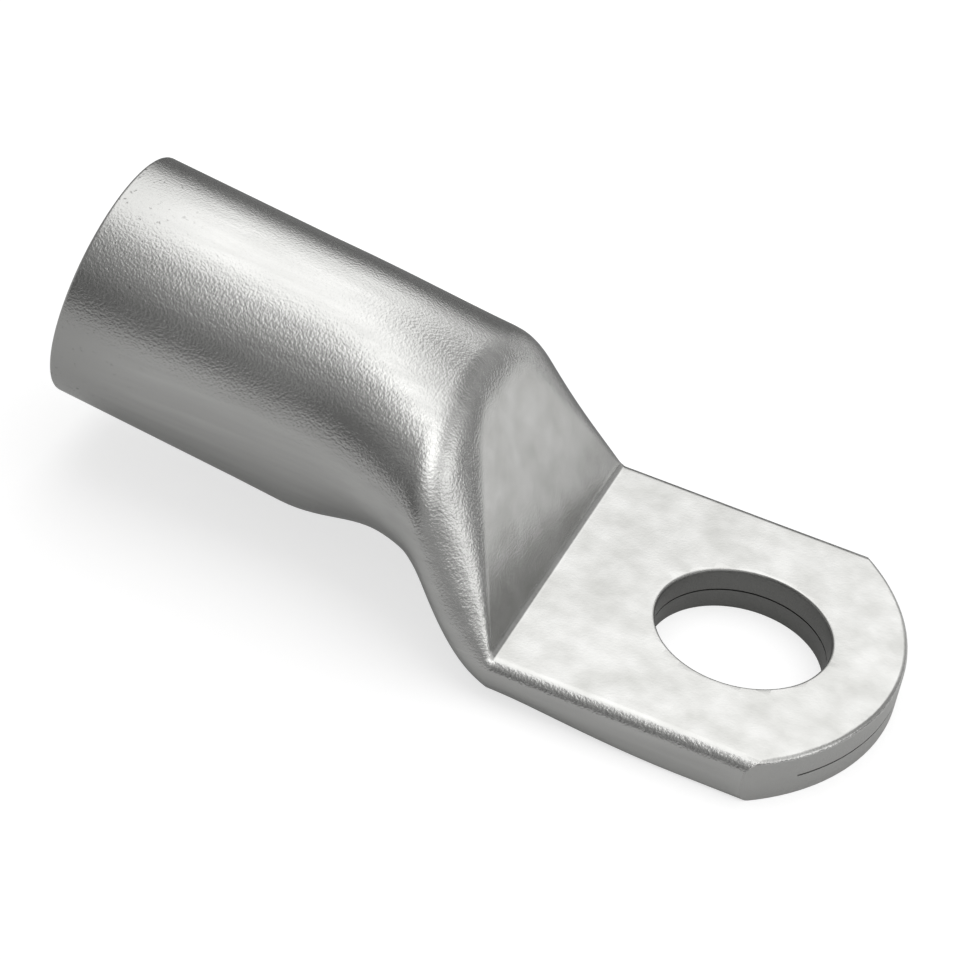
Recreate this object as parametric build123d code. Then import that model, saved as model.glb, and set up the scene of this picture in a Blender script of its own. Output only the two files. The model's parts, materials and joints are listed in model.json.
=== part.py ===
from build123d import *
import math
import os

# Tube cable lug: one length of tube whose front end is pressed flat into a palm for a stud.
# Frame: millimetres, origin at the stud hole's centre on the palm's underside, +Z up through
# the palm, +X to the palm's tip, the barrel towards -X.

# Tube
TUBE_DIAMETER = 19.0
TUBE_WALL = 1.75
BARREL_TILT = 7.1            # degrees, the mouth is raised above the palm
AXIS_HEIGHT = 9.05           # height of the barrel's axis over the palm's underside, at AXIS_X
AXIS_X = -15.0
MOUTH_X = -52.05             # centre of the open end
MOUTH_OUTER_EDGE = 0.25
MOUTH_INNER_EDGE = 0.35

# Palm
PALM_THICKNESS = 3.5
PALM_WIDTH = 27.6
PALM_TOP_FOLD = 1.1          # reach of the fold along the palm's upper side
PALM_BOTTOM_FOLD = 0.6       # reach of the fold along the palm's lower side
STUD_HOLE_DIAMETER = 13.0
HOLE_EDGE = 0.25             # rounding that the punch leaves on the hole's upper edge
TIP_X = 11.9                 # furthest point of the tip
TIP_RADIUS = 17.2
TIP_EDGE = 0.4               # rounding that the shears leave on the tip's upper edge

# Pressed slope between the barrel and the palm
CREASE_X = -14.5
SLOPE_ANGLE = 61.5           # degrees, measured from the palm
CROWN_REACH = 2.05           # height over which the barrel's crown bends into the slope
SOLE_REACH = 0.4             # height over which the barrel's underside bends into the palm's
SPREAD_START_X = -34.3       # the sides leave the barrel's width here, and reach the palm's at the crease
SPREAD_LAG = 1.33            # power by which the spreading starts late
CROWN_SINK = 0.72            # how far the crown sinks for each millimetre that a side moves out
FLAT_GROWTH = 0.68           # power by which the pressed flat widens as the crown goes down
BELLY_DROP = 1.77            # power by which the widest point goes down with the crown
SHOULDER_FLATNESS = 0.15     # how far the shoulders lose their roundness halfway down
CREASE_TOP_FOLD = 1.0        # reach of the upper fold where the slope meets the palm
CREASE_BOTTOM_FOLD = 2.4     # reach of the lower fold there
FOLD_LAG = 0.77              # how late the underside's corners tighten to that fold
SETTLED_X = 0.0              # from here on the folds along the palm's sides keep their reach
NECK_X = -24.4               # where the pressing draws the underside up most
NECK_LENGTH = 9.9            # length from there to the undisturbed tube, and to the palm
NECK_RISE = 2.5
NECK_FLATNESS = 0.25         # how far the sides lose their roundness there

# Seam between the two walls where they are pressed together
SEAM_HEIGHT = 1.6            # over the palm's underside
SEAM_GAP = 0.12
SEAM_SIDE = 3.0              # from the palm's side to the end of the seam
CAVITY_END_GAP = 0.4         # the cavity in front of the seam is blunt, and this high

SPLIT_ANGLE = 1.0                 # degrees, half of the crown arc that opens into the flat
ELLIPSE_WEIGHT = math.sqrt(0.5)   # conic weight that makes a quarter arc elliptical
PALM_SIDE_WEIGHT = 2.0            # fuller, so the palm's side stands upright
LEAST_CORNER = 0.12               # least reach of a corner inside the cavity
PRESSED_COUNT = 36                # sections of the slope
SETTLING_COUNT = 5                # sections of the palm where its side folds settle
CUT_MARGIN = 5.0                  # how far the cutting solids stand past the tube

tube_radius = TUBE_DIAMETER / 2
bore_radius = tube_radius - TUBE_WALL
tilt = math.radians(BARREL_TILT)
slope = math.radians(SLOPE_ANGLE)
hole_radius = STUD_HOLE_DIAMETER / 2


def lesser(first, second, reach):
    """Lower of two heights, with a parabola where they lie within the reach of each other."""
    apart = first - second
    if apart <= -reach:
        return first
    if apart >= reach:
        return second
    return first - (apart + reach) ** 2 / (4 * reach)


def greater(first, second, reach):
    return -lesser(-first, -second, reach)


def eased(x, start, end):
    """0 before the start and 1 after the end, level at both."""
    share = min(max((x - start) / (end - start), 0.0), 1.0)
    return share * share * (3 - 2 * share)


def axis_height(x):
    return AXIS_HEIGHT + (AXIS_X - x) * math.tan(tilt)


def slope_height(x):
    return PALM_THICKNESS + (CREASE_X - x) * math.tan(slope)


def half_width(x):
    spread = eased(x, SPREAD_START_X, CREASE_X) ** SPREAD_LAG
    return tube_radius + (PALM_WIDTH / 2 - tube_radius) * spread


def crown_height(x, inset):
    """Height of the crown at x before the slope is pressed, sinking where the tube spreads to an oval."""
    sunk = CROWN_SINK * (half_width(x) - tube_radius)
    return axis_height(x) + (tube_radius - inset) / math.cos(tilt) - sunk


def pressed_share(x):
    """0 under the untouched crown, 1 where the crown is pressed down to the palm."""
    crown = crown_height(x, 0)
    top = lesser(crown, slope_height(x), CROWN_REACH)
    return min(max((crown - top) / (crown - PALM_THICKNESS), 0.0), 1.0)


def neck_share(x):
    """1 at the neck, falling to 0 at either end of it."""
    away = min(abs(x - NECK_X) / NECK_LENGTH, 1.0)
    return math.cos(away * math.pi / 2) ** 2


def section_top(x, inset):
    """Height of the top wall at x, of its outside or inset from it."""
    return lesser(crown_height(x, inset), slope_height(x) - inset / math.cos(slope), CROWN_REACH)


def section_sole(x, inset):
    low = axis_height(x) - tube_radius / math.cos(tilt)
    return greater(low, 0, SOLE_REACH) + NECK_RISE * neck_share(x) + inset


def conic(x, start, corner, end, weight):
    return Bezier((x, *start), (x, *corner), (x, *end), weights=[1, weight, 1])


def flat_sided(x, section):
    """Closed section: a flat top, two shoulders, two sides that fold under, and a flat sole."""
    side, level = section["side"], section["level"]
    top_flat, top = section["top_flat"], section["top"]
    sole_flat, sole = section["sole_flat"], section["sole"]
    shoulder, under = section["shoulder_weight"], section["under_weight"]
    edges = [Line((x, top_flat, top), (x, -top_flat, top))]
    edges.append(conic(x, (-top_flat, top), (-side, top), (-side, level), shoulder))
    edges.append(conic(x, (-side, level), (-side, sole), (-sole_flat, sole), under))
    edges.append(Line((x, -sole_flat, sole), (x, sole_flat, sole)))
    edges.append(conic(x, (sole_flat, sole), (side, sole), (side, level), under))
    edges.append(conic(x, (side, level), (side, top), (top_flat, top), shoulder))
    return Wire(edges)


def slope_outline(x, inset=0.0):
    """Section of the slope at x, of the outside or inset from it by the wall."""
    share = pressed_share(x)
    least_flat = tube_radius * math.sin(math.radians(SPLIT_ANGLE))
    crease_level = PALM_THICKNESS - CREASE_TOP_FOLD
    top = section_top(x, inset)
    sole = section_sole(x, inset)
    side = half_width(x)
    fold = CREASE_BOTTOM_FOLD + (side - CREASE_BOTTOM_FOLD) * (1 - share**FOLD_LAG)
    level = crease_level + (axis_height(x) - crease_level) * (1 - share) ** BELLY_DROP
    if inset > 0:
        sole = min(sole, top - CAVITY_END_GAP)
        level = min(max(level, sole + LEAST_CORNER), top - LEAST_CORNER)
    inner_side = side - inset
    most_flat = inner_side - least_flat
    top_flat = (PALM_WIDTH / 2 - CREASE_TOP_FOLD) * share**FLAT_GROWTH
    section = {"top": top, "sole": sole, "side": inner_side, "level": level}
    section["top_flat"] = min(max(top_flat, least_flat), most_flat)
    section["sole_flat"] = min(max(side - fold, least_flat), most_flat)
    section["shoulder_weight"] = ELLIPSE_WEIGHT - SHOULDER_FLATNESS * 4 * share * (1 - share)
    section["under_weight"] = ELLIPSE_WEIGHT - NECK_FLATNESS * neck_share(x)
    return flat_sided(x, section)


def palm_outline(x):
    """Section of the palm at x, where the folds along its sides are still settling."""
    settled = eased(x, CREASE_X, SETTLED_X)
    top_fold = CREASE_TOP_FOLD + (PALM_TOP_FOLD - CREASE_TOP_FOLD) * settled
    bottom_fold = CREASE_BOTTOM_FOLD + (PALM_BOTTOM_FOLD - CREASE_BOTTOM_FOLD) * settled
    side = PALM_WIDTH / 2
    section = {"top": PALM_THICKNESS, "sole": 0.0, "side": side, "level": PALM_THICKNESS - top_fold}
    section["top_flat"] = side - top_fold
    section["sole_flat"] = side - bottom_fold
    section["shoulder_weight"] = ELLIPSE_WEIGHT
    section["under_weight"] = ELLIPSE_WEIGHT + (PALM_SIDE_WEIGHT - ELLIPSE_WEIGHT) * settled
    return flat_sided(x, section)


def tube_outline(x, inset=0.0):
    """Ellipse in which the plane at x cuts the tilted tube, split where the pressed flats start."""
    half_width = tube_radius - inset
    half_height = half_width / math.cos(tilt)
    height = axis_height(x)
    low, high = 90 - SPLIT_ANGLE, 90 + SPLIT_ANGLE
    marks = [low, high, 180, low + 180, high + 180, 360, low + 360]
    edges = []
    for start, end in zip(marks, marks[1:]):
        weight = math.cos(math.radians(end - start) / 2)
        points = []
        for angle, reach in ((start, 1.0), ((start + end) / 2, 1 / weight), (end, 1.0)):
            turn = math.radians(angle)
            points.append((half_width * reach * math.cos(turn), height + half_height * reach * math.sin(turn)))
        edges.append(conic(x, *points, weight))
    return Wire(edges)


def cavity_end():
    """X where the inside of the sloping wall comes down to the blunt end over the seam."""
    end_height = SEAM_HEIGHT - SEAM_GAP / 2 + CAVITY_END_GAP
    return (end_height - slope_height(0) + TUBE_WALL / math.cos(slope)) / -math.tan(slope)


def stations(start_x, end_x, count):
    return [start_x + (end_x - start_x) * step / (count - 1) for step in range(1, count)]


def pressed_body(end_x, inset):
    """Body from the round tube at the start of the neck to the section at end_x."""
    start_x = NECK_X - NECK_LENGTH
    outlines = [tube_outline(start_x, inset)]
    outlines += [slope_outline(x, inset) for x in stations(start_x, end_x, PRESSED_COUNT)]
    return Solid.make_loft(outlines)


def along_barrel(x, solid):
    """Set a solid that is built up along +Z on the barrel's axis at x, pointing to the palm."""
    place = Plane(origin=(x, 0, axis_height(x)), x_dir=(0, 1, 0), z_dir=(math.cos(tilt), 0, -math.sin(tilt)))
    return place.location * solid


def cut_plumb(solid, x):
    """Keep what lies behind the upright plane at x."""
    size = 4 * TUBE_DIAMETER
    return solid - Pos(x + size / 2, 0, axis_height(x)) * Box(size, size, size)


def barrel_outside(end_x):
    length = (end_x - MOUTH_X) / math.cos(tilt) + TUBE_DIAMETER
    rod = Pos(0, 0, length / 2) * Cylinder(tube_radius, length)
    rod = fillet(rod.edges().sort_by(Axis.Z)[0], MOUTH_OUTER_EDGE)
    return cut_plumb(along_barrel(MOUTH_X, rod), end_x)


def barrel_bore(end_x):
    length = (end_x - MOUTH_X) / math.cos(tilt) + TUBE_DIAMETER
    rod = Pos(0, 0, (length - CUT_MARGIN) / 2) * Cylinder(bore_radius, length + CUT_MARGIN)
    countersink = Pos(0, 0, MOUTH_INNER_EDGE / 2) * Cone(bore_radius + MOUTH_INNER_EDGE, bore_radius, MOUTH_INNER_EDGE)
    return cut_plumb(along_barrel(MOUTH_X, rod + countersink), end_x)


def palm():
    """The flat palm from the crease to the tip, without its hole."""
    settling = [palm_outline(x) for x in stations(CREASE_X, SETTLED_X, SETTLING_COUNT)]
    strap = Solid.make_loft([palm_outline(CREASE_X)] + settling)
    strap += extrude(Face(palm_outline(SETTLED_X)), amount=TIP_X - SETTLED_X, dir=(1, 0, 0))
    disc = Pos(TIP_X - TIP_RADIUS, 0, 0) * Cylinder(TIP_RADIUS, 2 * PALM_THICKNESS)
    disc = fillet(disc.edges().sort_by(Axis.Z)[-1], TIP_EDGE)
    keep = Pos(CREASE_X, 0, 0) * Box(-2 * CREASE_X, 2 * PALM_WIDTH, 2 * PALM_THICKNESS)
    return strap & (disc + keep)


def stud_hole():
    """Cutter for the punched hole, with the rounding that the punch leaves on its upper edge."""
    rim = PALM_THICKNESS - HOLE_EDGE
    above = PALM_THICKNESS + CUT_MARGIN
    start = (hole_radius, 0, rim)
    end = (hole_radius + HOLE_EDGE, 0, PALM_THICKNESS)
    outline = Polyline((end[0], 0, above), (0, 0, above), (0, 0, -CUT_MARGIN), (hole_radius, 0, -CUT_MARGIN), start)
    rounding = TangentArc(start, end, tangent=(0, 0, 1))
    closing = Line(end, (end[0], 0, above))
    return revolve(Face(Wire(outline.edges() + [rounding, closing])), Axis.Z)


def cavity(neck_start_x):
    """The open inside: the bore, the room under the slope, and the seam between the pressed walls."""
    end_x = cavity_end()
    length = TIP_X + CUT_MARGIN - end_x
    seam = Box(length + CAVITY_END_GAP, PALM_WIDTH - 2 * SEAM_SIDE, SEAM_GAP)
    seam = Pos(end_x + (length - CAVITY_END_GAP) / 2, 0, SEAM_HEIGHT) * seam
    return barrel_bore(neck_start_x) + pressed_body(end_x, TUBE_WALL) + seam


def cable_lug():
    neck_start_x = NECK_X - NECK_LENGTH
    outside = barrel_outside(neck_start_x) + pressed_body(CREASE_X, 0.0) + palm()
    return outside - cavity(neck_start_x) - stud_hole()


def main():
    os.makedirs("parts", exist_ok=True)
    export_step(cable_lug(), "parts/cable_lug.step")


main()
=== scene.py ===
"""Visual model of a tinned copper tube cable lug, in metres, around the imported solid.

The lug is one length of tube. It is modelled as one ring of points that is extruded along the tube, first out
of the closed end of the bore to the mouth and then back over the outside to the palm. Each ring is pressed to
its section. Afterwards the palm's tip is sheared, the seam between its two walls is opened and its hole is
punched.
"""

import json
import logging
import math
from dataclasses import dataclass, field
from enum import Enum

import bpy
import numpy as np
from mathutils import Matrix, Vector

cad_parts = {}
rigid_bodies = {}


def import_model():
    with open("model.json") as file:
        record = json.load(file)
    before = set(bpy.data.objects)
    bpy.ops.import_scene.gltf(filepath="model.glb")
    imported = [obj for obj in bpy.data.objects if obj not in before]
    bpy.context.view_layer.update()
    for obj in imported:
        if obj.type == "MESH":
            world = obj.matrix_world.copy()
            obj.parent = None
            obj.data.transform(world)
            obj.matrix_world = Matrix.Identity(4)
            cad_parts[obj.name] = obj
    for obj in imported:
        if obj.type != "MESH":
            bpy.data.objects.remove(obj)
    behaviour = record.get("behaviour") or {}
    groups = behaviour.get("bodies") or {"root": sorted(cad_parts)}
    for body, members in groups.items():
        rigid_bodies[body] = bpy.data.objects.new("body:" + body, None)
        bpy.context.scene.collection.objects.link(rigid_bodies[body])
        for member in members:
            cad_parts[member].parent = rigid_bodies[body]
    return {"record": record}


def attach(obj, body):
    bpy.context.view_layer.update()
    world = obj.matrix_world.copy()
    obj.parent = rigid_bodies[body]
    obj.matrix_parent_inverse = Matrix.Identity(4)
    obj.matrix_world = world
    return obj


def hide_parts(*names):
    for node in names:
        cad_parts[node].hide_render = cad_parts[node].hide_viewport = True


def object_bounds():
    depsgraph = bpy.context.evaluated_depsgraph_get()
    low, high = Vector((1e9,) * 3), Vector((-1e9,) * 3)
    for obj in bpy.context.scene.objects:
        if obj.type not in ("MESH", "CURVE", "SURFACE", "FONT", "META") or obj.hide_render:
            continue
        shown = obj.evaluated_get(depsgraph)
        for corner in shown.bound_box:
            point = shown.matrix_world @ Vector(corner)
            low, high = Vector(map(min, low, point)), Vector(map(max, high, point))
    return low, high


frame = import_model()
CAD_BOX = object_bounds()

LOG = logging.getLogger("cable_lug")
MM = 0.001
TINY = 1e-9
LUG_NODE = "cable_lug"

Tree = bpy.types.NodeTree
Socket = bpy.types.NodeSocket
Span = tuple[float, float]
Point = tuple[float, float, float]

MULTIPLY = {"operation": "MULTIPLY"}
MAXIMUM = {"operation": "MAXIMUM"}
ADD = {"operation": "ADD"}
SMOOTH = {"interpolation_type": "SMOOTHSTEP"}
FALLING = {3: 1.0, 4: 0.0}


class Mount(Enum):
    """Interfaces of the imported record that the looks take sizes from."""

    STUD_HOLE = "stud_hole"
    BARREL_BORE = "barrel_bore"


def mount(which: Mount) -> dict:
    """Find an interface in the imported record.

    Args:
        which: The interface.

    Returns:
        Its entry in the record.
    """
    return next(entry for entry in frame["record"]["mounts"] if entry["name"] == which.value)


def linear_colour(hex_colour: str) -> tuple[float, float, float, float]:
    """Turn an sRGB hex colour into linear light.

    Args:
        hex_colour: Six hex digits, with or without a leading mark.

    Returns:
        Red, green, blue and an alpha of 1.
    """
    digits = hex_colour.lstrip("#")
    shares = [int(digits[place : place + 2], 16) / 255 for place in (0, 2, 4)]
    linear = [share / 12.92 if share <= 0.04045 else ((share + 0.055) / 1.055) ** 2.4 for share in shares]
    return linear[0], linear[1], linear[2], 1.0


def add_node(
    tree: Tree,
    kind: str,
    settings: dict[str | int, object] | None = None,
    links: dict[str | int, Socket] | None = None,
) -> bpy.types.Node:
    """Add a shader node with its settings and incoming links.

    Args:
        tree: The node tree.
        kind: The node's type name.
        settings: Values by name, of the node's own settings or else of its input sockets, or by number.
        links: Output sockets by the name or number of the input that they feed.

    Returns:
        The new node.
    """
    node = tree.nodes.new(kind)
    for name, value in (settings or {}).items():
        if isinstance(name, str) and hasattr(node, name):
            setattr(node, name, value)
        else:
            node.inputs[name].default_value = value
    for name, socket in (links or {}).items():
        tree.links.new(socket, node.inputs[name])
    return node


def deselect_all() -> None:
    """Leave nothing selected, in object mode."""
    if bpy.context.object and bpy.context.object.mode != "OBJECT":
        bpy.ops.object.mode_set(mode="OBJECT")
    bpy.ops.object.select_all(action="DESELECT")


def make_active(piece: bpy.types.Object) -> None:
    """Select one object alone and make it the active one.

    Args:
        piece: The object.
    """
    deselect_all()
    piece.select_set(True)
    bpy.context.view_layer.objects.active = piece


def settle(piece: bpy.types.Object) -> None:
    """Put an object's place, turn and size into its mesh."""
    make_active(piece)
    bpy.ops.object.transform_apply(location=True, rotation=True, scale=True)


def lower_of(first: float, second: float, reach: float) -> float:
    """Take the lower of two heights, with a parabola where they lie within reach of each other.

    Args:
        first: One height.
        second: The other height.
        reach: Difference under which the two blend.

    Returns:
        The blended lower height.
    """
    apart = first - second
    if apart <= -reach:
        return first
    if apart >= reach:
        return second
    return first - (apart + reach) ** 2 / (4 * reach)


def eased(x: float, start: float, end: float) -> float:
    """Go from 0 at the start to 1 at the end, level at both."""
    share = min(max((x - start) / (end - start), 0.0), 1.0)
    return share * share * (3 - 2 * share)


def quarter(start: Span, corner: Span, end: Span, weight: float, count: int) -> np.ndarray:
    """Points of a conic arc between two tangents.

    Args:
        start: First point.
        corner: Where the two end tangents meet.
        end: Last point.
        weight: Fullness of the arc, the square root of a half for a quarter of an ellipse.
        count: How many points.

    Returns:
        The points, one per row.
    """
    share = np.linspace(0, 1, count)[:, None]
    parts = [(1 - share) ** 2, 2 * weight * share * (1 - share), share**2]
    total = parts[0] + parts[1] + parts[2]
    return (parts[0] * np.array(start) + parts[1] * np.array(corner) + parts[2] * np.array(end)) / total


@dataclass
class PressedTube:
    """Form of the pressed tube, in millimetres, as sections across X."""

    tube_radius: float = 9.5
    bore_radius: float = mount(Mount.BARREL_BORE)["dims"]["r_mm"]
    mouth_x: float = mount(Mount.BARREL_BORE)["pos_m"][0] / MM
    mouth_z: float = mount(Mount.BARREL_BORE)["pos_m"][2] / MM
    tilt: float = math.asin(mount(Mount.BARREL_BORE)["axis"][2])
    palm_thickness: float = mount(Mount.STUD_HOLE)["dims"]["length_mm"]
    palm_width: float = 27.6
    palm_top_fold: float = 1.1
    palm_bottom_fold: float = 0.6
    crease_x: float = -14.5
    slope: float = math.radians(61.5)
    crown_reach: float = 2.05
    crease_reach: float = 0.55
    sole_reach: float = 0.4
    spread_start_x: float = -34.3
    spread_lag: float = 1.33
    crown_sink: float = 0.72
    flat_growth: float = 0.68
    belly_drop: float = 1.77
    shoulder_flatness: float = 0.15
    crease_top_fold: float = 1.0
    crease_bottom_fold: float = 2.4
    fold_lag: float = 0.77
    settled_x: float = 0.0
    neck_x: float = -24.4
    neck_length: float = 9.9
    neck_rise: float = 2.5
    neck_flatness: float = 0.25
    ellipse_weight: float = math.sqrt(0.5)
    palm_side_weight: float = 2.0
    least_flat: float = 0.166
    least_corner: float = 0.12
    least_room: float = 0.4
    seam_height: float = 1.6
    seam_gap: float = 0.12
    seam_side: float = 3.0
    points_per_arc: int = 200

    @property
    def wall(self) -> float:
        """Thickness of the tube's wall."""
        return self.tube_radius - self.bore_radius

    @property
    def neck_start_x(self) -> float:
        """Where the round tube ends."""
        return self.neck_x - self.neck_length

    @property
    def cavity_end_x(self) -> float:
        """Where the inside of the sloping wall comes down to the blunt end over the seam."""
        end_height = self.seam_height - self.seam_gap / 2 + self.least_room
        inner_foot = self.palm_thickness - self.wall / math.cos(self.slope)
        return self.crease_x - (end_height - inner_foot) / math.tan(self.slope)

    def axis_height(self, x: float) -> float:
        """Height of the barrel's axis at x."""
        return self.mouth_z + (self.mouth_x - x) * math.tan(self.tilt)

    def slope_height(self, x: float) -> float:
        """Height of the pressed slope's plane at x."""
        return self.palm_thickness + (self.crease_x - x) * math.tan(self.slope)

    def crown_height(self, x: float, inset: float = 0.0) -> float:
        """Height of the crown at x before the slope is pressed, lower where the tube spreads to an oval."""
        sunk = self.crown_sink * (self.half_width(x) - self.tube_radius)
        return self.axis_height(x) + (self.tube_radius - inset) / math.cos(self.tilt) - sunk

    def half_width(self, x: float) -> float:
        """Half the tube's width at x."""
        spread = eased(x, self.spread_start_x, self.crease_x) ** self.spread_lag
        return self.tube_radius + (self.palm_width / 2 - self.tube_radius) * spread

    def pressed_share(self, x: float) -> float:
        """Say how far the crown is pressed down.

        Args:
            x: Place of the section.

        Returns:
            0 on the barrel, 1 on the palm.
        """
        crown = self.crown_height(x)
        top = lower_of(crown, self.slope_height(x), self.crown_reach)
        return min(max((crown - top) / (crown - self.palm_thickness), 0.0), 1.0)

    def neck_share(self, x: float) -> float:
        """Go from 1 at the neck to 0 at either end of it."""
        away = min(abs(x - self.neck_x) / self.neck_length, 1.0)
        return math.cos(away * math.pi / 2) ** 2

    def top_height(self, x: float, inset: float) -> float:
        """Find the top wall, rounded where the slope runs out into the palm.

        Args:
            x: Place of the section.
            inset: How far inside the outer face it lies.

        Returns:
            Its height.
        """
        sloping = self.slope_height(x) - inset / math.cos(self.slope)
        if inset == 0:
            sloping = -lower_of(-sloping, -self.palm_thickness, self.crease_reach)
        return lower_of(self.crown_height(x, inset), sloping, self.crown_reach)

    def sole_height(self, x: float, inset: float) -> float:
        """Height of the underside at x, drawn up at the neck."""
        low = self.axis_height(x) - self.tube_radius / math.cos(self.tilt)
        return -lower_of(-low, 0.0, self.sole_reach) + self.neck_rise * self.neck_share(x) + inset

    def half_outline(self, x: float, inset: float = 0.0) -> np.ndarray:
        """Dense points of half a section, from the middle of its top round its side to that of its sole.

        Args:
            x: Place of the section.
            inset: How far inside the outer face it runs.

        Returns:
            Rows of Y and Z.
        """
        share, settled = self.pressed_share(x), eased(x, self.crease_x, self.settled_x)
        top, sole = self.top_height(x, inset), self.sole_height(x, inset)
        side = self.half_width(x)
        top_fold = self.crease_top_fold + (self.palm_top_fold - self.crease_top_fold) * settled
        bottom_fold = self.crease_bottom_fold + (self.palm_bottom_fold - self.crease_bottom_fold) * settled
        fold = bottom_fold + (side - bottom_fold) * (1 - share**self.fold_lag)
        palm_level = self.palm_thickness - top_fold
        level = palm_level + (self.axis_height(x) - palm_level) * (1 - share) ** self.belly_drop
        if inset > 0:
            sole = min(sole, top - self.least_room)
            level = min(max(level, sole + self.least_corner), top - self.least_corner)
        inner_side = side - inset
        most_flat = inner_side - self.least_flat
        pressed_flat = (self.palm_width / 2 - top_fold) * share**self.flat_growth
        top_flat = min(max(pressed_flat, self.least_flat), most_flat)
        sole_flat = min(max(side - fold, self.least_flat), most_flat)
        shoulder = self.ellipse_weight - self.shoulder_flatness * 4 * share * (1 - share)
        under = self.ellipse_weight - self.neck_flatness * self.neck_share(x)
        under += (self.palm_side_weight - self.ellipse_weight) * settled
        count = self.points_per_arc
        flat = np.linspace((0, top), (top_flat, top), count)
        upper = quarter((top_flat, top), (inner_side, top), (inner_side, level), shoulder, count)
        lower = quarter((inner_side, level), (inner_side, sole), (sole_flat, sole), under, count)
        base = np.linspace((sole_flat, sole), (0, sole), count)
        return np.vstack([flat, upper[1:], lower[1:], base[1:]])

    def ring(self, x: float, inset: float, count: int, bend_share: float = 0.45) -> np.ndarray:
        """Points all round the section, spaced by its length and, for a share, by how far it turns.

        Args:
            x: Place of the section.
            inset: How far inside the outer face it runs.
            count: How many points, an even number.
            bend_share: Share of the spacing that follows the turning.

        Returns:
            Rows of Y and Z, from the middle of the top round +Y to the sole and back round -Y.
        """
        half = self.half_outline(x, inset)
        steps = np.diff(half, axis=0)
        lengths = np.hypot(steps[:, 0], steps[:, 1])
        headings = np.unwrap(np.arctan2(steps[:, 1], steps[:, 0]))
        turns = np.abs(np.diff(headings, prepend=headings[0]))
        measure = (1 - bend_share) * lengths / lengths.sum() + bend_share * turns / max(turns.sum(), TINY)
        reached = np.concatenate([[0], np.cumsum(measure)])
        wanted = np.linspace(0, reached[-1], count // 2 + 1)
        side = np.column_stack([np.interp(wanted, reached, half[:, column]) for column in (0, 1)])
        return np.vstack([side, side[-2:0:-1] * (-1, 1)])

    def barrel_ring(self, share: float, radius: float, count: int, along: float = 0.0) -> np.ndarray:
        """Points round the barrel, from square across its axis at the mouth to upright at the neck.

        Args:
            share: 0 at the mouth and 1 at the start of the neck.
            radius: Radius of the ring.
            count: How many points.
            along: Shift of the mouth's ring along the axis, towards the palm.

        Returns:
            Rows of X, Y and Z.
        """
        inset = self.tube_radius - radius if radius <= self.bore_radius + self.least_corner else 0.0
        section = self.ring(self.neck_start_x, inset, count)
        upright = (section[:, 1] - self.axis_height(self.neck_start_x)) * math.cos(self.tilt)
        turn = np.arctan2(upright, section[:, 0])
        across, up = radius * np.cos(turn), radius * np.sin(turn)
        far = (self.neck_start_x - self.mouth_x - up * math.sin(self.tilt)) / math.cos(self.tilt)
        reach = along + (far - along) * share
        x = self.mouth_x + reach * math.cos(self.tilt) + up * math.sin(self.tilt)
        z = self.mouth_z - reach * math.sin(self.tilt) + up * math.cos(self.tilt)
        return np.column_stack([x, across, z])


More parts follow.
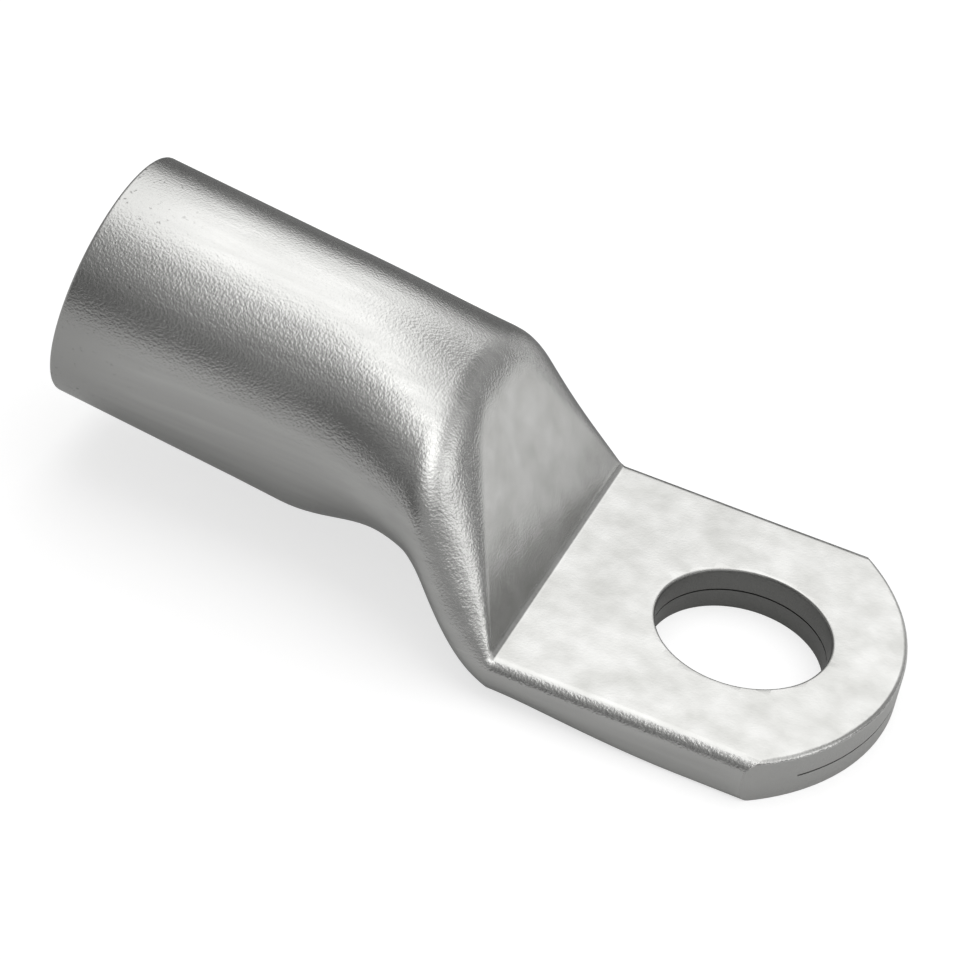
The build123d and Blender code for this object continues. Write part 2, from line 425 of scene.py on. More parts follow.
@dataclass
class LugBody:
    """The lug as one closed mesh, pressed ring by ring and then cut.

    Lengths are in millimetres. The spacings are pairs of where a stretch of the neck ends and how far apart
    its sections lie at most. The shares place rings between the mouth, at 0, and the neck, at 1.
    """

    form: PressedTube = field(default_factory=PressedTube)
    points_round: int = 144
    spacings: tuple[Span, ...] = ((-27.0, 0.7), (-20.5, 0.2), (-15.1, 0.45), (-14.0, 0.09))
    palm_spacing: float = 1.4
    tip_spacing: float = 2.0
    inner_spacing: float = 0.5
    bore_shares: tuple[float, ...] = (0.66, 0.33)
    barrel_shares: tuple[float, ...] = (0.2, 0.4, 0.6, 0.8)
    mouth_outer_edge: float = 0.25
    mouth_inner_edge: float = 0.35
    edge_steps: int = 4
    tip_x: float = CAD_BOX[1].x / MM
    tip_radius: float = 17.2
    tip_edge: float = 0.4
    hole_edge: float = 0.25
    cutter_steps: int = 192
    cut_margin: float = 4.0
    clear_margin: float = 5.0
    merge_distance: float = 1e-7
    smooth_angle: float = math.radians(32)

    def stations(self) -> tuple[list[float], list[float]]:
        """Places of the sections, closer together where the form bends.

        Returns:
            Outer ones from the neck to past the tip, and inner ones from the cavity's end to the neck.
        """
        form = self.form
        palm = ((form.settled_x, self.palm_spacing), (self.tip_x + self.cut_margin, self.tip_spacing))
        start, outer = form.neck_start_x, []
        for end, step in self.spacings + palm:
            count = math.ceil((end - start) / step)
            outer += [start + (end - start) * place / count for place in range(count)]
            start = end
        reach = form.cavity_end_x - form.neck_start_x
        count = math.ceil(reach / self.inner_spacing)
        inner = [form.neck_start_x + reach * place / count for place in range(count + 1)]
        return outer, inner[::-1]

    def rings(self) -> list[np.ndarray]:
        """Lay out all rings of the tube.

        Returns:
            The rings in order, from the cavity's end out through the mouth and over the outside to the tip.
        """
        form, count = self.form, self.points_round
        outer, inner = self.stations()
        rows = [np.insert(form.ring(x, form.wall, count), 0, x, axis=1) for x in inner]
        rows += [form.barrel_ring(share, form.bore_radius, count) for share in self.bore_shares]
        rows.append(form.barrel_ring(0, form.bore_radius, count, self.mouth_inner_edge))
        rows.append(form.barrel_ring(0, form.bore_radius + self.mouth_inner_edge, count))
        for step in range(self.edge_steps + 1):
            turn = math.pi / 2 * step / self.edge_steps
            radius = form.tube_radius - self.mouth_outer_edge * (1 - math.sin(turn))
            rows.append(form.barrel_ring(0, radius, count, self.mouth_outer_edge * (1 - math.cos(turn))))
        rows += [form.barrel_ring(share, form.tube_radius, count) for share in self.barrel_shares]
        rows += [np.insert(form.ring(x, 0.0, count), 0, x, axis=1) for x in outer]
        return rows

    def extrude_rings(self, count: int) -> bpy.types.Object:
        """Extrude a ring of points into a straight sleeve with closed ends.

        Args:
            count: How many rings the sleeve has.

        Returns:
            The sleeve, 1 m long for each step, with its axis along X.
        """
        deselect_all()
        upright = (0, math.pi / 2, 0)
        bpy.ops.mesh.primitive_circle_add(
            vertices=self.points_round, radius=1.0, fill_type="NGON", rotation=upright
        )
        sleeve = bpy.context.object
        settle(sleeve)
        bpy.ops.object.mode_set(mode="EDIT")
        bpy.ops.mesh.select_all(action="SELECT")
        for _ in range(count - 1):
            bpy.ops.mesh.extrude_region_move(TRANSFORM_OT_translate={"value": (1.0, 0.0, 0.0)})
        bpy.ops.mesh.select_all(action="SELECT")
        bpy.ops.mesh.normals_make_consistent(inside=False)
        bpy.ops.object.mode_set(mode="OBJECT")
        return sleeve

    def press(self, sleeve: bpy.types.Object, rings: list[np.ndarray]) -> None:
        """Move each point of the sleeve to its place on the pressed tube.

        Args:
            sleeve: The straight sleeve.
            rings: The rings that it takes.
        """
        count = self.points_round
        for vertex in sleeve.data.vertices:
            turn = math.atan2(vertex.co.y, vertex.co.z) % (2 * math.pi)
            place = round(turn / (2 * math.pi) * count) % count
            vertex.co = Vector(rings[round(vertex.co.x)][place]) * MM
        sleeve.data.update()

    def turned(self, profile: list[Span], centre_x: float) -> bpy.types.Object:
        """Spin a profile of radius and height into a closed cutter.

        Args:
            profile: The profile's points in millimetres, which start and end on the axis.
            centre_x: Place of the axis.

        Returns:
            The cutter.
        """
        deselect_all()
        bpy.ops.mesh.primitive_plane_add(size=1.0)
        cutter = bpy.context.object
        bpy.ops.object.mode_set(mode="EDIT")
        bpy.ops.mesh.merge(type="CENTER")
        for _ in profile[1:]:
            bpy.ops.mesh.extrude_region_move(TRANSFORM_OT_translate={"value": (1.0, 0.0, 0.0)})
        bpy.ops.object.mode_set(mode="OBJECT")
        for vertex in cutter.data.vertices:
            radius, height = profile[round(vertex.co.x)]
            vertex.co = Vector((centre_x + radius, 0.0, height)) * MM
        bpy.ops.object.mode_set(mode="EDIT")
        bpy.ops.mesh.select_all(action="SELECT")
        centre = (centre_x * MM, 0, 0)
        bpy.ops.mesh.spin(steps=self.cutter_steps, angle=2 * math.pi, center=centre, axis=(0, 0, 1))
        bpy.ops.mesh.select_all(action="SELECT")
        bpy.ops.mesh.remove_doubles(threshold=self.merge_distance)
        bpy.ops.mesh.normals_make_consistent(inside=False)
        bpy.ops.object.mode_set(mode="OBJECT")
        return cutter

    def arc(self, centre: Span, radius: float, start: float, end: float) -> list[Span]:
        """Lay out an arc of a cutter's profile.

        Args:
            centre: Its centre.
            radius: Its radius.
            start: Angle of its first point, in degrees.
            end: Angle of its last point, in degrees.

        Returns:
            Its points.
        """
        shares = [step / self.edge_steps for step in range(self.edge_steps + 1)]
        turns = [math.radians(start + (end - start) * share) for share in shares]
        across, up = centre
        return [(across + radius * math.cos(turn), up + radius * math.sin(turn)) for turn in turns]

    def punch(self) -> bpy.types.Object:
        """Make the punch: its cut has the soft upper edge that the tool draws down.

        Returns:
            The cutter.
        """
        top = self.form.palm_thickness
        radius = mount(Mount.STUD_HOLE)["dims"]["r_mm"]
        profile = [(0, -self.cut_margin), (radius, -self.cut_margin)]
        profile += self.arc((radius + self.hole_edge, top - self.hole_edge), self.hole_edge, 180, 90)
        profile += [(radius + self.hole_edge, top + self.cut_margin), (0, top + self.cut_margin)]
        return self.turned(profile, 0.0)

    def block(self, low: Point, high: Point) -> bpy.types.Object:
        """Make a plain block cutter.

        Args:
            low: Its lowest corner, in millimetres.
            high: Its highest corner.

        Returns:
            The cutter.
        """
        deselect_all()
        centre = (Vector(low) + Vector(high)) / 2 * MM
        bpy.ops.mesh.primitive_cube_add(size=1.0, location=centre, scale=(Vector(high) - Vector(low)) * MM)
        cutter = bpy.context.object
        settle(cutter)
        return cutter

    def shears(self) -> bpy.types.Object:
        """Make the shears: what lies outside the round tip, with the edge that they roll over.

        Returns:
            The cutter.
        """
        top, reach = self.form.palm_thickness, self.tip_radius
        profile = [(0, -self.clear_margin), (reach, -self.clear_margin)]
        profile += self.arc((reach - self.tip_edge, top - self.tip_edge), self.tip_edge, 0, 90)
        profile += [(reach - self.tip_edge, top + self.clear_margin), (0, top + self.clear_margin)]
        kept = self.turned(profile, self.tip_x - reach)
        half = self.form.palm_width
        far_corner = (self.tip_x + 2 * self.cut_margin, half, top + self.cut_margin)
        waste = self.block((0, -half, -self.cut_margin), far_corner)
        self.cut(waste, kept)
        return waste

    def seam(self) -> bpy.types.Object:
        """Make the thin gap that stays between the two pressed walls.

        Returns:
            The cutter.
        """
        form = self.form
        half = form.palm_width / 2 - form.seam_side
        low = (form.cavity_end_x - form.least_room, -half, form.seam_height - form.seam_gap / 2)
        high = (self.tip_x + self.cut_margin, half, form.seam_height + form.seam_gap / 2)
        return self.block(low, high)

    def cut(self, piece: bpy.types.Object, cutter: bpy.types.Object) -> None:
        """Take a cutter away from a piece and remove it.

        Args:
            piece: The piece.
            cutter: The cutter.
        """
        make_active(piece)
        modifier = piece.modifiers.new("cut", "BOOLEAN")
        modifier.object = cutter
        modifier.operation = "DIFFERENCE"
        modifier.solver = "EXACT"
        bpy.ops.object.modifier_apply(modifier=modifier.name)
        bpy.data.objects.remove(cutter, do_unlink=True)

    def build(self) -> bpy.types.Object:
        """Make the whole lug.

        Returns:
            The finished piece, at the origin.
        """
        rings = self.rings()
        lug = self.extrude_rings(len(rings))
        lug.name = "lug_body"
        lug.data.name = "lug_body"
        self.press(lug, rings)
        for cutter in (self.shears(), self.seam(), self.punch()):
            self.cut(lug, cutter)
        make_active(lug)
        bpy.ops.object.shade_smooth_by_angle(angle=self.smooth_angle)
        weighted = lug.modifiers.new("weighted", "WEIGHTED_NORMAL")
        weighted.keep_sharp = True
        bpy.ops.object.modifier_apply(modifier=weighted.name)
        return lug


@dataclass(frozen=True)
class Pattern:
    """An uneven pattern on a surface.

    Attributes:
        width: Width of its features, in millimetres.
        depth: How far they stand out of the surface, in millimetres.
        span: The raw noise values that become 0 and 1.
        stretch: Factors on X, Y and Z, under 1 where the features run long.
    """

    width: float
    depth: float
    span: Span
    stretch: Point = (1, 1, 1)


@dataclass(frozen=True)
class ElectroTin:
    """Tin plated on a drawn and pressed copper tube.

    The bath leaves a soft grey metal with a fine sandy grain over faint draw marks along the tube. The dies
    burnish it where they press, so the slope and the palm are paler, smoother and cloudy. The punch, the
    shears and the saw leave dull, scored faces. The hole's wall is darker still: its colour is partly the
    dull punched face and partly painted shade. Towards the mouth the tin is darker and has a few pits.
    Lengths are in millimetres.
    """

    form: PressedTube
    drawn: str = "#cacac8"
    drawn_dull: str = "#c1c1bf"
    burnished: str = "#d1d1cf"
    burnished_dull: str = "#bbbbb8"
    sheared: str = "#c4c4c2"
    # Colour of the hole's wall: partly the dull punched face, partly painted shade.
    punched_and_shaded: str = "#888886"
    pitted: str = "#90908e"
    # Darker colour of the tin towards the mouth.
    darker_near_mouth: str = "#b6b6b4"
    drawn_roughness: float = 0.26
    burnished_roughness: float = 0.26
    sheared_roughness: float = 0.45
    # Plated grains are finer than the picture's points, so they are drawn as wide as their clusters show.
    grain: Pattern = Pattern(0.19, 0.014, (0.3, 0.7))
    streaks: Pattern = Pattern(0.9, 0.0008, (0.32, 0.68), (1 / 12, 1, 1))
    clouds: Pattern = Pattern(2.6, 0.005, (0.25, 0.7))
    scores: Pattern = Pattern(0.25, 0.008, (0.3, 0.7), (1, 1, 1 / 8))
    pits: Pattern = Pattern(0.42, -0.02, (0.66, 0.76))
    noise_detail: float = 2.0
    burnished_grain: float = 0.25
    near_mouth_reach: float = 9.0
    die_touch: float = 0.12
    slope_fade: float = 0.2
    tip_skin: float = 0.05

    def build(self) -> bpy.types.Material:
        """Make the material.

        Returns:
            The material.
        """
        material = bpy.data.materials.new("electro_tinned_copper")
        material.use_nodes = True
        tree = material.node_tree
        tree.nodes.clear()
        place = add_node(tree, "ShaderNodeTexCoord").outputs["Object"]
        punched_and_shaded, darker_near_mouth = self.punched_share(tree, place), self.near_mouth_share(tree, place)
        pressed, cut = self.pressed_share(tree, place), self.cut_share(tree, place, punched_and_shaded)
        streaks, clouds = self.noise(tree, place, self.streaks), self.noise(tree, place, self.clouds)
        raw_pits = self.noise(tree, place, self.pits)
        pits = add_node(tree, "ShaderNodeMath", MULTIPLY, {0: raw_pits, 1: darker_near_mouth}).outputs[0]

        tube = self.blend(tree, streaks, self.drawn_dull, self.drawn)
        # Darker towards the mouth.
        tube = self.blend(tree, darker_near_mouth, tube, self.darker_near_mouth)
        flats = self.blend(tree, clouds, self.burnished_dull, self.burnished)
        colour = self.blend(tree, pressed, tube, flats)
        colour = self.blend(tree, cut, colour, self.sheared)
        # The hole's wall takes its colour, partly the dull cut and partly painted shade.
        colour = self.blend(tree, punched_and_shaded, colour, self.punched_and_shaded)
        colour = self.blend(tree, pits, colour, self.pitted)

        roughnesses = {3: self.drawn_roughness, 4: self.burnished_roughness}
        smooth = add_node(tree, "ShaderNodeMapRange", roughnesses, {0: pressed}).outputs[0]
        rough = add_node(tree, "ShaderNodeMix", {3: self.sheared_roughness}, {0: cut, 2: smooth}).outputs[0]

        grain, scores = self.noise(tree, place, self.grain), self.noise(tree, place, self.scores)
        layers = (
            (grain, self.grain, pressed, {3: 1.0, 4: self.burnished_grain}),
            (streaks, self.streaks, pressed, FALLING),
            (clouds, self.clouds, None, None),
            (scores, self.scores, cut, {3: 0.0, 4: 1.0}),
            (pits, self.pits, None, None),
        )
        relief = None
        for share, pattern, mask, ends in layers:
            layer = add_node(tree, "ShaderNodeMath", MULTIPLY | {1: pattern.depth}, {0: share}).outputs[0]
            if mask is not None:
                kept = add_node(tree, "ShaderNodeMapRange", ends, {0: mask}).outputs[0]
                layer = add_node(tree, "ShaderNodeMath", MULTIPLY, {0: layer, 1: kept}).outputs[0]
            if relief is not None:
                layer = add_node(tree, "ShaderNodeMath", ADD, {0: relief, 1: layer}).outputs[0]
            relief = layer
        bump = add_node(tree, "ShaderNodeBump", {"Strength": 1.0, "Distance": MM}, {"Height": relief})
        looks = {"Base Color": colour, "Roughness": rough, "Normal": bump.outputs["Normal"]}
        shader = add_node(tree, "ShaderNodeBsdfPrincipled", {"Metallic": 1.0}, looks)
        add_node(tree, "ShaderNodeOutputMaterial", links={"Surface": shader.outputs["BSDF"]})
        return material

    def noise(self, tree: Tree, place: Socket, pattern: Pattern) -> Socket:
        """Lay an uneven pattern over the piece.

        Args:
            tree: The node tree.
            place: Where on the piece a point lies.
            pattern: The pattern.

        Returns:
            The pattern, from 0 to 1.
        """
        drawn = add_node(tree, "ShaderNodeMapping", {"Scale": pattern.stretch}, {"Vector": place})
        scale = {"Scale": 1 / (pattern.width * MM), "Detail": self.noise_detail}
        raw = add_node(tree, "ShaderNodeTexNoise", scale, {"Vector": drawn.outputs[0]}).outputs[0]
        ends = dict(enumerate(pattern.span, start=1))
        return add_node(tree, "ShaderNodeMapRange", ends, {0: raw}).outputs[0]

    def blend(self, tree: Tree, share: Socket, first: str | Socket, second: str | Socket) -> Socket:
        """Go from one colour to another.

        Args:
            tree: The node tree.
            share: 0 for the first and 1 for the second.
            first: A hex colour or a colour socket.
            second: The same.

        Returns:
            The colour.
        """
        settings, links = {"data_type": "RGBA"}, {0: share}
        for spot, end in ((6, first), (7, second)):
            if isinstance(end, str):
                settings[spot] = linear_colour(end)
            else:
                links[spot] = end
        return add_node(tree, "ShaderNodeMix", settings, links).outputs[2]

    def closeness(self, tree: Tree, place: Socket, normal: Point, height: float) -> Socket:
        """Say how close to a plane a point lies.

        Args:
            tree: The node tree.
            place: Where on the piece the point lies.
            normal: The plane's normal.
            height: The plane's distance from the origin along it, in millimetres.

        Returns:
            1 on the plane, 0 from the reach of the die on.
        """
        dot = {"operation": "DOT_PRODUCT", 1: normal}
        along = add_node(tree, "ShaderNodeVectorMath", dot, {0: place}).outputs["Value"]
        less = {"operation": "SUBTRACT", 1: height * MM}
        apart = add_node(tree, "ShaderNodeMath", less, {0: along}).outputs[0]
        size = add_node(tree, "ShaderNodeMath", {"operation": "ABSOLUTE"}, {0: apart}).outputs[0]
        reach = SMOOTH | FALLING | {1: 0.0, 2: self.die_touch * MM}
        return add_node(tree, "ShaderNodeMapRange", reach, {0: size}).outputs[0]

    def pressed_share(self, tree: Tree, place: Socket) -> Socket:
        """Say where the flat dies touched.

        Args:
            tree: The node tree.
            place: Where on the piece a point lies.

        Returns:
            1 on the slope and on the palm's two faces.
        """
        form = self.form
        across, up = math.sin(form.slope), math.cos(form.slope)
        foot = form.crease_x * across + form.palm_thickness * up
        slope = self.closeness(tree, place, (across, 0, up), foot)
        top = self.closeness(tree, place, (0, 0, 1), form.palm_thickness)
        sole = self.closeness(tree, place, (0, 0, 1), 0.0)
        level = add_node(tree, "ShaderNodeSeparateXYZ", links={0: place}).outputs["Z"]
        low, high = form.palm_thickness * MM, (form.palm_thickness + self.slope_fade) * MM
        above = add_node(tree, "ShaderNodeMapRange", SMOOTH | {1: low, 2: high}, {0: level}).outputs[0]
        slope = add_node(tree, "ShaderNodeMath", MULTIPLY, {0: slope, 1: above}).outputs[0]
        faces = add_node(tree, "ShaderNodeMath", MAXIMUM, {0: top, 1: sole}).outputs[0]
        return add_node(tree, "ShaderNodeMath", MAXIMUM, {0: faces, 1: slope}).outputs[0]

    def cut_share(self, tree: Tree, place: Socket, wall: Socket) -> Socket:
        """Say where the metal was cut.

        Args:
            tree: The node tree.
            place: Where on the piece a point lies.
            wall: 1 on the hole's wall.

        Returns:
            1 on the hole's wall, the sheared tip and the sawn mouth.
        """
        tip_x, tip_radius = LugBody.tip_x, LugBody.tip_radius
        centred = {"Location": ((tip_radius - tip_x) * MM, 0, 0), "Scale": (1, 1, 0)}
        shifted = add_node(tree, "ShaderNodeMapping", centred, {"Vector": place}).outputs[0]
        reach = add_node(tree, "ShaderNodeVectorMath", {"operation": "LENGTH"}, {0: shifted})
        outside = {"operation": "GREATER_THAN", 1: (tip_radius - self.tip_skin) * MM}
        tip = add_node(tree, "ShaderNodeMath", outside, {0: reach.outputs["Value"]}).outputs[0]
        front = add_node(tree, "ShaderNodeSeparateXYZ", links={0: place}).outputs["X"]
        positive = {"operation": "GREATER_THAN", 1: 0.0}
        ahead = add_node(tree, "ShaderNodeMath", positive, {0: front}).outputs[0]
        tip = add_node(tree, "ShaderNodeMath", MULTIPLY, {0: tip, 1: ahead}).outputs[0]
        mouth = self.closeness(tree, place, self.barrel_axis, self.mouth_distance)
        both = add_node(tree, "ShaderNodeMath", MAXIMUM, {0: wall, 1: tip}).outputs[0]
        return add_node(tree, "ShaderNodeMath", MAXIMUM, {0: both, 1: mouth}).outputs[0]

    def punched_share(self, tree: Tree, place: Socket) -> Socket:
        """Say where the punch passed.

        Args:
            tree: The node tree.
            place: Where on the piece a point lies.

        Returns:
            1 on the wall of the stud hole, whose colour holds painted shade.
        """
        flat = add_node(tree, "ShaderNodeMapping", {"Scale": (1, 1, 0)}, {"Vector": place}).outputs[0]
        reach = add_node(tree, "ShaderNodeVectorMath", {"operation": "LENGTH"}, {0: flat}).outputs["Value"]
        edge = (mount(Mount.STUD_HOLE)["dims"]["r_mm"] + LugBody.hole_edge / 2) * MM
        within = {"operation": "LESS_THAN", 1: edge}
        return add_node(tree, "ShaderNodeMath", within, {0: reach}).outputs[0]

    def near_mouth_share(self, tree: Tree, place: Socket) -> Socket:
        """Say how near the barrel's mouth a point lies, where the tin is duller and pitted.

        Args:
            tree: The node tree.
            place: Where on the piece a point lies.

        Returns:
            1 at the mouth, 0 from the reach of the darkening on.
        """
        dot = {"operation": "DOT_PRODUCT", 1: self.barrel_axis}
        along = add_node(tree, "ShaderNodeVectorMath", dot, {0: place}).outputs["Value"]
        start = self.mouth_distance * MM
        near = SMOOTH | FALLING | {1: start, 2: start + self.near_mouth_reach * MM}
        return add_node(tree, "ShaderNodeMapRange", near, {0: along}).outputs[0]

    @property
    def barrel_axis(self) -> Point:
        """Direction of the barrel, from its mouth to the neck."""
        return math.cos(self.form.tilt), 0, -math.sin(self.form.tilt)

    @property
    def mouth_distance(self) -> float:
        """How far along the barrel's direction its mouth lies from the origin, in millimetres."""
        return self.form.mouth_x * self.barrel_axis[0] + self.form.mouth_z * self.barrel_axis[2]


def direction(azimuth: float, elevation: float) -> Point:
    """Point somewhere by azimuth, from +Y towards +X, and elevation, in degrees."""
    turn, rise = math.radians(azimuth), math.radians(elevation)
    return math.sin(turn) * math.cos(rise), math.cos(turn) * math.cos(rise), math.sin(rise)


@dataclass(frozen=True)
class TentPatch:
    """How the tent's brightness changes with the angle from a direction.

    Attributes:
        azimuth: The direction's azimuth in degrees, from +Y towards +X.
        elevation: Its elevation in degrees.
        tones: Pairs of an angle in degrees and a brightness.
    """

    azimuth: float
    elevation: float
    tones: tuple[Span, ...]

    @property
    def top(self) -> float:
        """The greatest brightness."""
        return max(tone for _, tone in self.tones)


@dataclass
class Studio:
    """The white table, the light tent, the soft light over it and the camera.

    Lengths are in metres, but the camera's distance, target, lens and sensor are in millimetres. Spans are pairs
    of where a change starts and ends, and glow and brightness are 1 for white.
    """

    # The wide patch is the light overhead. The others brighten or shade single reflections, and all multiply.
    overhead_tones: tuple[Span, ...] = (
        (0, 1.85),
        (36, 1.68),
        (44, 1.27),
        (52, 0.95),
        (61, 0.55),
        (72, 0.32),
        (85, 0.34),
        (110, 0.46),
        (180, 0.46),
    )
    tent_patches: tuple[TentPatch, ...] = (
        TentPatch(40, 68, overhead_tones),
        TentPatch(65, 33, ((0, 0.4), (24, 0.42), (36, 0.55), (46, 0.78), (56, 1.0), (180, 1.0))),
        TentPatch(-142, 62, ((0, 0.4), (8, 0.45), (16, 0.7), (24, 1.0), (180, 1.0))),
        TentPatch(140, 50, ((0, 1.8), (14, 1.6), (26, 1.15), (36, 1.0), (180, 1.0))),
        TentPatch(90, 23, ((0, 4.8), (9, 4.0), (17, 1.9), (25, 1.0), (180, 1.0))),
        TentPatch(33, 40, ((0, 0.34), (9, 0.4), (17, 0.72), (24, 1.0), (180, 1.0))),
        TentPatch(-154, 12, ((0, 0.2), (12, 0.37), (22, 0.82), (30, 1.0), (180, 1.0))),
        TentPatch(-7, 2, ((0, 0.25), (11, 0.34), (20, 0.75), (28, 1.0), (180, 1.0))),
    )

    camera_azimuth: float = math.radians(16.0834)
    camera_elevation: float = math.radians(37.0891)
    camera_roll: float = math.radians(10.813)
    camera_distance: float = 229.127
    camera_target: Point = (-20.655, -3.031, 10.0)
    lens: float = 120.0
    sensor: float = 36.0
    clip: Span = (0.01, 20.0)

    table_size: float = 3.6
    table_paint: float = 0.5
    # Painted shade on the table that only reflections see: grey in front, and behind from dark on the left to
    # white on the right.
    reflected_shade_front: float = 0.53
    reflected_shade_rear: Span = (0.12, 1.0)
    rear_span: Span = (-0.02, 0.03)
    behind_span: Span = (-0.005, 0.025)
    table_glow: Span = (0.66, 0.1)
    fill: float = 0.45
    tent_radius: float = 2.2
    tent_segments: int = 64
    tent_rings: int = 32
    softbox_spot: Point = (0.05, 0.25, 1.0)
    softbox_side: float = 1.3
    softbox_glow: float = 1.2
    softbox_aim: Point = (-0.02, 0.0, 0.01)

    def place_camera(self) -> None:
        """Set the camera at the viewing angle of the photograph."""
        ahead = Vector((
            -math.sin(self.camera_azimuth) * math.cos(self.camera_elevation),
            math.cos(self.camera_azimuth) * math.cos(self.camera_elevation),
            -math.sin(self.camera_elevation),
        ))
        data = bpy.data.cameras.new("camera")
        data.lens = self.lens
        data.sensor_width = self.sensor
        data.clip_start, data.clip_end = self.clip
        camera = bpy.data.objects.new("camera", data)
        bpy.context.scene.collection.objects.link(camera)
        turn = ahead.to_track_quat("-Z", "Y").to_matrix() @ Matrix.Rotation(self.camera_roll, 3, "Z")
        spot = (Vector(self.camera_target) - ahead * self.camera_distance) * MM
        camera.matrix_world = Matrix.Translation(spot) @ turn.to_4x4()
        bpy.context.scene.camera = camera

    def seen_rays(self, tree: Tree, camera_level: float, gloss_level: float) -> Socket:
        """Say how bright a background shows itself to the camera and in what shines or lets light through.

        Args:
            tree: The node tree that the nodes go into.
            camera_level: Level that the camera sees, where 1 is white.
            gloss_level: Level that reflections and see-through things show.

        Returns:
            The level for the ray at hand, 0 for light that only falls on things.
        """
        path = add_node(tree, "ShaderNodeLightPath").outputs
        indirect = {0: path["Is Glossy Ray"], 1: path["Is Transmission Ray"]}
        other = add_node(tree, "ShaderNodeMath", MAXIMUM, indirect).outputs[0]
        shine = add_node(tree, "ShaderNodeMath", MULTIPLY | {1: gloss_level}, {0: other}).outputs[0]
        seen = {0: path["Is Camera Ray"]}
        direct = add_node(tree, "ShaderNodeMath", MULTIPLY | {1: camera_level}, seen).outputs[0]
        return add_node(tree, "ShaderNodeMath", ADD, {0: shine, 1: direct}).outputs[0]

    def lay_floor(self) -> None:
        """Lay the white table under the lug, which keeps a soft shadow and is greyer where it is mirrored."""
        deselect_all()
        bpy.ops.mesh.primitive_plane_add(size=self.table_size, location=(0, 0, CAD_BOX[0].z))
        floor = bpy.context.object
        floor.name = "floor"
        material = bpy.data.materials.new("white_table")
        material.use_nodes = True
        tree = material.node_tree
        tree.nodes.clear()
        place = add_node(tree, "ShaderNodeTexCoord").outputs["Object"]
        spot = add_node(tree, "ShaderNodeSeparateXYZ", links={0: place}).outputs
        across = SMOOTH | dict(enumerate(self.rear_span + self.reflected_shade_rear, start=1))
        rear = add_node(tree, "ShaderNodeMapRange", across, {0: spot["X"]}).outputs[0]
        back = SMOOTH | dict(enumerate(self.behind_span, start=1))
        behind = add_node(tree, "ShaderNodeMapRange", back, {0: spot["Y"]}).outputs[0]
        # Painted shade for reflections: grey in front, dark behind on the left, white behind on the right.
        shaded = add_node(tree, "ShaderNodeMix", {2: self.reflected_shade_front}, {0: behind, 3: rear}).outputs[0]
        glossy = add_node(tree, "ShaderNodeLightPath").outputs["Is Glossy Ray"]
        paint = add_node(tree, "ShaderNodeMix", {2: self.table_paint}, {0: glossy, 3: shaded}).outputs[0]
        matt = add_node(tree, "ShaderNodeBsdfDiffuse", links={"Color": paint})
        level = self.seen_rays(tree, *self.table_glow)
        glow = add_node(tree, "ShaderNodeEmission", {"Color": (1, 1, 1, 1)}, {"Strength": level})
        both = add_node(tree, "ShaderNodeAddShader", links={0: matt.outputs[0], 1: glow.outputs[0]})
        add_node(tree, "ShaderNodeOutputMaterial", links={"Surface": both.outputs[0]})
        floor.data.materials.append(material)

    def light_world(self) -> None:
        """Make the surroundings white where they are seen and softly lit elsewhere."""
        world = bpy.data.worlds.new("studio")
        bpy.context.scene.world = world
        world.use_nodes = True
        tree = world.node_tree
        tree.nodes.clear()
        seen = self.seen_rays(tree, 1 - self.fill, 1 - self.fill)
        level = add_node(tree, "ShaderNodeMath", ADD | {1: self.fill}, {0: seen}).outputs[0]
        back = add_node(tree, "ShaderNodeBackground", {"Color": (1, 1, 1, 1)}, {"Strength": level})
        add_node(tree, "ShaderNodeOutputWorld", links={"Surface": back.outputs[0]})

    def hang_tent(self) -> None:
        """Hang the tent of thin cloth that only the metal's reflections see."""
        deselect_all()
        bpy.ops.mesh.primitive_uv_sphere_add(
            segments=self.tent_segments, ring_count=self.tent_rings, radius=self.tent_radius
        )
        tent = bpy.context.object
        tent.name = "light_tent"
        material = bpy.data.materials.new("tent_cloth")
        material.use_nodes = True
        tree = material.node_tree
        tree.nodes.clear()
        place = add_node(tree, "ShaderNodeTexCoord").outputs["Object"]
        heading = add_node(tree, "ShaderNodeVectorMath", {"operation": "NORMALIZE"}, {0: place}).outputs[0]
        level = None
        for patch in self.tent_patches:
            tone = self.patch_tone(tree, heading, patch)
            if level is not None:
                tone = add_node(tree, "ShaderNodeMath", MULTIPLY, {0: level, 1: tone}).outputs[0]
            level = tone
        glow = add_node(tree, "ShaderNodeEmission", {"Color": (1, 1, 1, 1)}, {"Strength": level})
        add_node(tree, "ShaderNodeOutputMaterial", links={"Surface": glow.outputs[0]})
        tent.data.materials.append(material)
        tent.visible_camera = tent.visible_diffuse = tent.visible_shadow = False

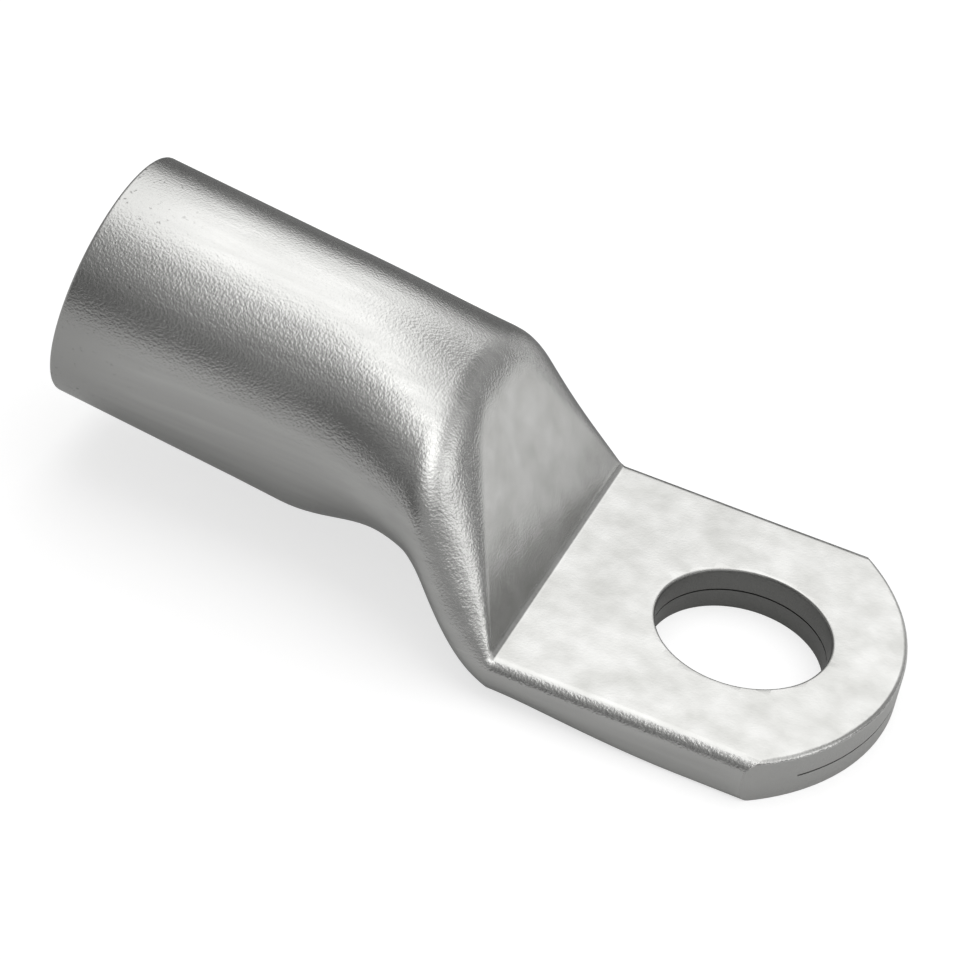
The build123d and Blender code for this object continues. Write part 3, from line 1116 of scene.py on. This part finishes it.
    def patch_tone(self, tree: Tree, heading: Socket, patch: TentPatch) -> Socket:
        """Say how bright a patch makes a point of the tent.

        Args:
            tree: The tent's node tree.
            heading: Direction of the point from the tent's centre.
            patch: The patch.

        Returns:
            The brightness.
        """
        axis = direction(patch.azimuth, patch.elevation)
        along = add_node(tree, "ShaderNodeVectorMath", {"operation": "DOT_PRODUCT", 1: axis}, {0: heading})
        apart = add_node(tree, "ShaderNodeMath", {"operation": "ARCCOSINE"}, {0: along.outputs["Value"]})
        share = add_node(tree, "ShaderNodeMath", {"operation": "DIVIDE", 1: math.pi}, {0: apart.outputs[0]})
        curve = add_node(tree, "ShaderNodeFloatCurve", links={"Value": share.outputs[0]})
        line = curve.mapping.curves[0]
        spots = [(angle / 180, tone / patch.top) for angle, tone in patch.tones]
        line.points[0].location, line.points[-1].location = spots[0], spots[-1]
        for spot in spots[1:-1]:
            line.points.new(*spot)
        for point in line.points:
            point.handle_type = "AUTO_CLAMPED"
        curve.mapping.update()
        scaled = MULTIPLY | {1: patch.top}
        return add_node(tree, "ShaderNodeMath", scaled, {0: curve.outputs[0]}).outputs[0]

    def hang_softbox(self) -> None:
        """Hang the soft light that faces the lug and lights the table."""
        data = bpy.data.lights.new("top_softbox", "AREA")
        data.shape = "SQUARE"
        data.size = self.softbox_side
        data.energy = self.softbox_glow * math.pi * self.softbox_side**2
        lamp = bpy.data.objects.new("top_softbox", data)
        bpy.context.scene.collection.objects.link(lamp)
        lamp.location = self.softbox_spot
        aim = Vector(self.softbox_aim) - Vector(self.softbox_spot)
        lamp.rotation_euler = aim.to_track_quat("-Z", "Y").to_euler()
        lamp.visible_glossy = False

    def set_up(self) -> None:
        """Set up the whole studio."""
        self.place_camera()
        self.lay_floor()
        self.light_world()
        self.hang_tent()
        self.hang_softbox()
        bpy.context.scene.view_settings.view_transform = "Standard"


def main() -> None:
    """Build the lug, dress it and set up the studio."""
    logging.basicConfig(level=logging.INFO, format="%(message)s")
    body = LugBody()
    lug = body.build()
    lug.data.materials.clear()
    lug.data.materials.append(ElectroTin(body.form).build())
    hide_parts(LUG_NODE)
    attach(lug, "root")
    LOG.info("lug_body: %d points, %d faces", len(lug.data.vertices), len(lug.data.polygons))
    Studio().set_up()
    LOG.info("studio set up")


if __name__ == "__main__":
    main()
